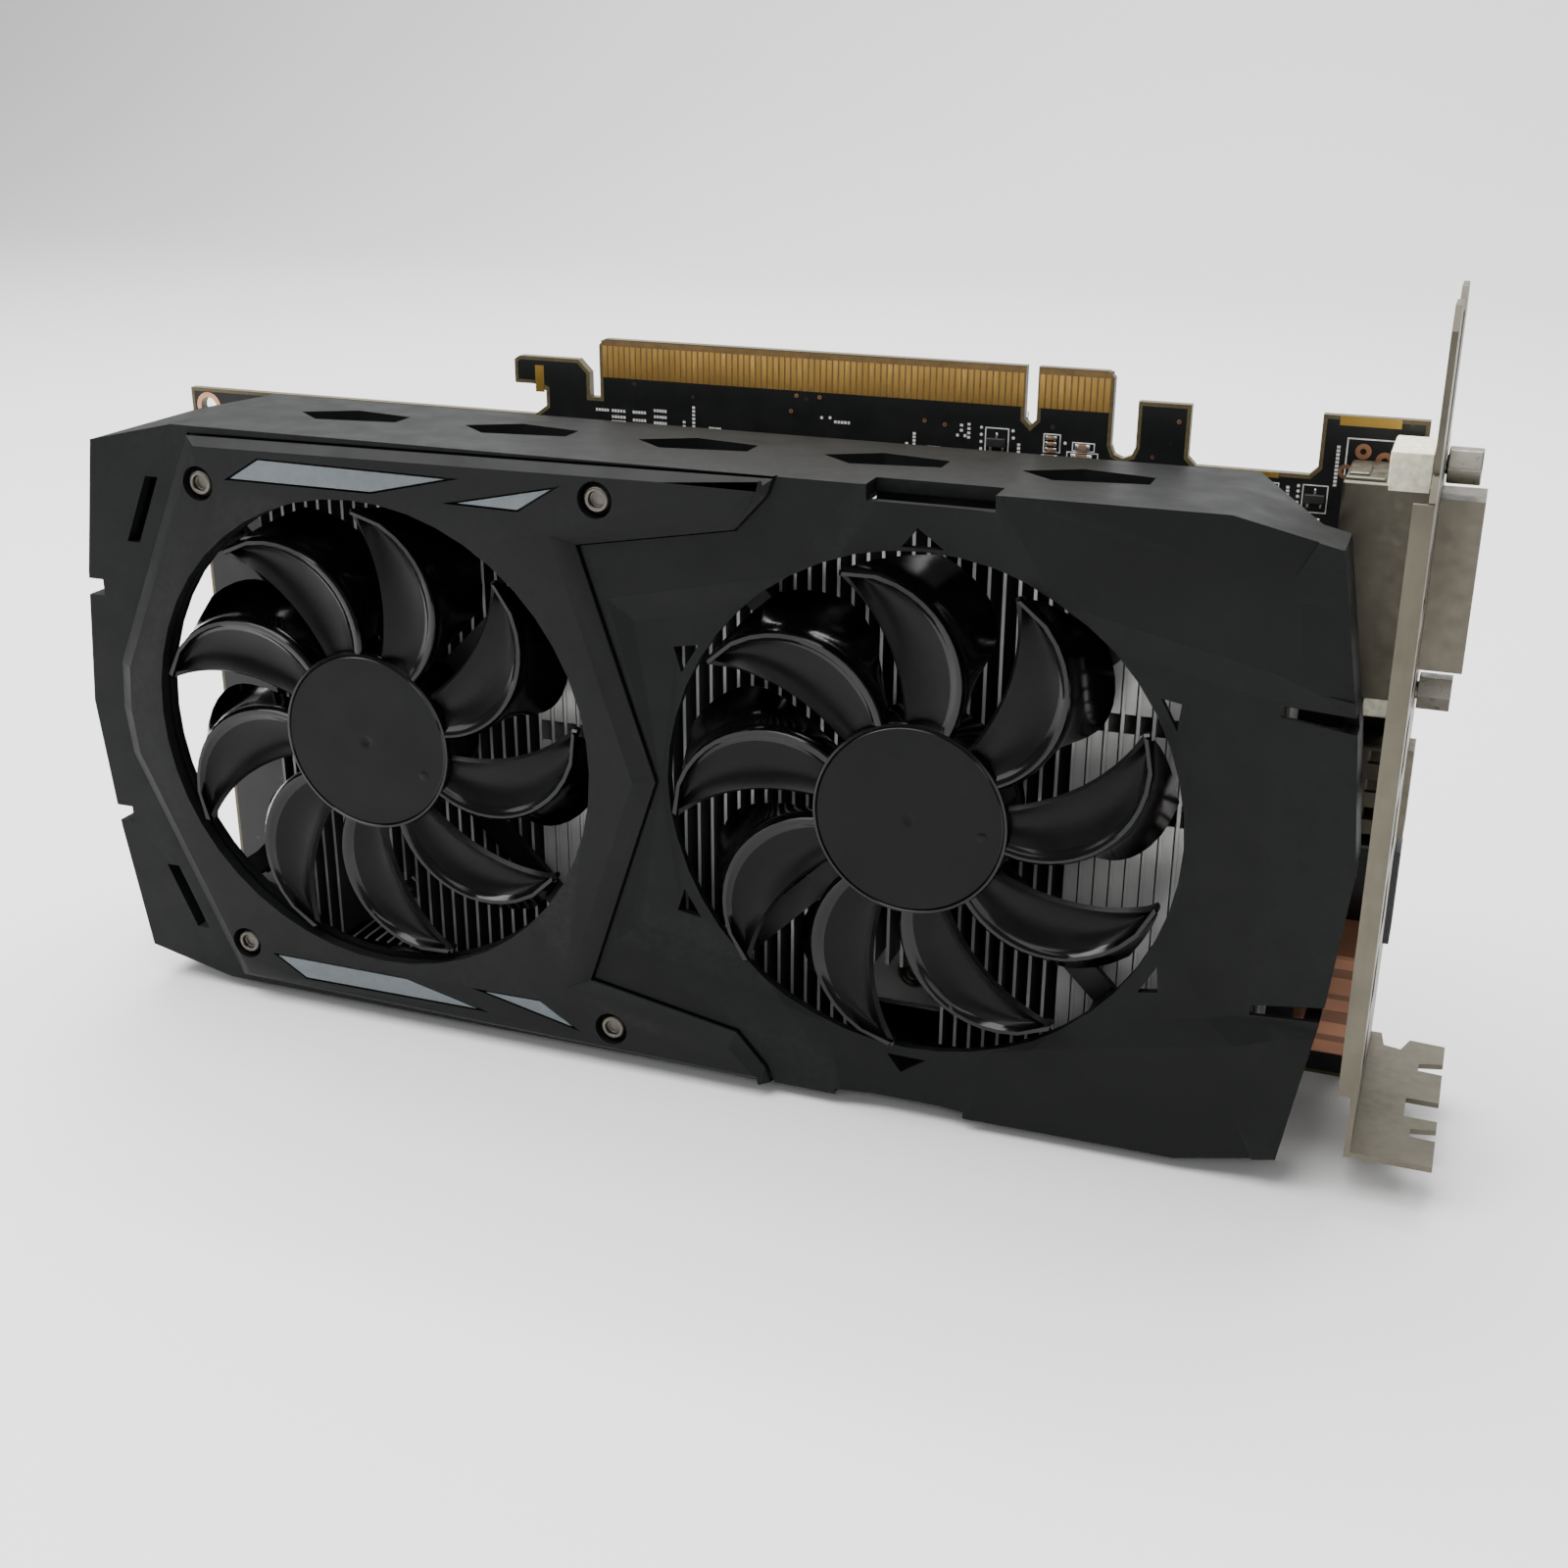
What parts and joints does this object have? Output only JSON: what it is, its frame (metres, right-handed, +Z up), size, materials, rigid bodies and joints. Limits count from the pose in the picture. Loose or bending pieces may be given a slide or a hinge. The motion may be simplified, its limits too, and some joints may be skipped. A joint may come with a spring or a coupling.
{
  "type": "graphics card",
  "caption": "Dual-slot graphics card with a finned heat-pipe cooler, a faceted black shroud with axial fans, a board-edge connector and a steel slot bracket with display ports.",
  "frame": {"origin": "middle of the card's underside: the centre of its bounding box, at the board's long free edge, on which it stands", "axes": "+X towards the bracket, +Y towards the back of the board, +Z up towards the edge connector; the fans face -Y"},
  "size_m": [0.2264, 0.0446, 0.1272],
  "materials": {
    "board": "black solder mask on glass epoxy laminate",
    "shroud": "fine matt moulding",
    "front_plate": "fine matt moulding",
    "inlay": "satin grey",
    "fan": "polished moulding with matt hub",
    "motor": "matt moulding",
    "fins": "bare stamped sheet",
    "copper": "bare copper",
    "bracket": "nickel-plated, softly worn",
    "port_metal": "tinned sheet steel",
    "socket": "moulded nylon",
    "port_shield": "dull copper-coloured sheet",
    "screw": "zinc-plated",
    "package": "laminate",
    "die": "polished silicon",
    "chip": "moulded epoxy",
    "choke": "pressed ferrite",
    "capacitor": "drawn can"
  },
  "bodies": {
    "card": {"bracket": "bracket", "bracket_screw": "screw", "capacitor_1": "capacitor", "capacitor_2": "capacitor", "capacitor_3": "capacitor", "capacitor_4": "capacitor", "cooler_base": "copper", "cooler_screw_left": "screw", "cooler_screw_right": "screw", "copper_port_shield": "port_shield", "displayport_connector": "socket", "dvi_connector": "port_metal", "fan_header": "socket", "fin_stack_left": "fins", "fin_stack_right": "fins", "front_plate": "front_plate", "gpu_die": "die", "gpu_package": "package", "hdmi_connector": "port_metal", "heat_pipe_1": "copper", "heat_pipe_2": "copper", "heat_pipe_3": "copper", "heat_pipe_4": "copper", "jackscrew_lower": "screw", "jackscrew_upper": "screw", "left_fan_motor": "motor", "memory_chip_1": "chip", "memory_chip_2": "chip", "memory_chip_3": "chip", "memory_chip_4": "chip", "memory_chip_5": "chip", "memory_chip_6": "chip", "memory_chip_7": "chip", "memory_chip_8": "chip", "plate_screw_1": "screw", "plate_screw_2": "screw", "plate_screw_3": "screw", "plate_screw_4": "screw", "power_choke_1": "choke", "power_choke_2": "choke", "power_choke_3": "choke", "power_choke_4": "choke", "power_choke_5": "choke", "power_choke_6": "choke", "power_socket": "socket", "printed_circuit_board": "board", "right_fan_motor": "motor", "shroud": "shroud", "spring_screw_1": "screw", "spring_screw_2": "screw", "spring_screw_3": "screw", "spring_screw_4": "screw", "stripe_bottom_long": "inlay", "stripe_bottom_short": "inlay", "stripe_top_long": "inlay", "stripe_top_short": "inlay"},
    "left_fan": {"left_fan_rotor": "fan"},
    "right_fan": {"right_fan_rotor": "fan"}
  },
  "joints": [
    {"name": "left_fan_spin", "type": "hinge", "parent": "card", "child": "left_fan", "pos_m": [-0.05573, -0.01565, 0.0517], "axis": [0, -1, 0], "continuous": true},
    {"name": "right_fan_spin", "type": "hinge", "parent": "card", "child": "right_fan", "pos_m": [0.03517, -0.01565, 0.0517], "axis": [0, -1, 0], "continuous": true}
  ]
}
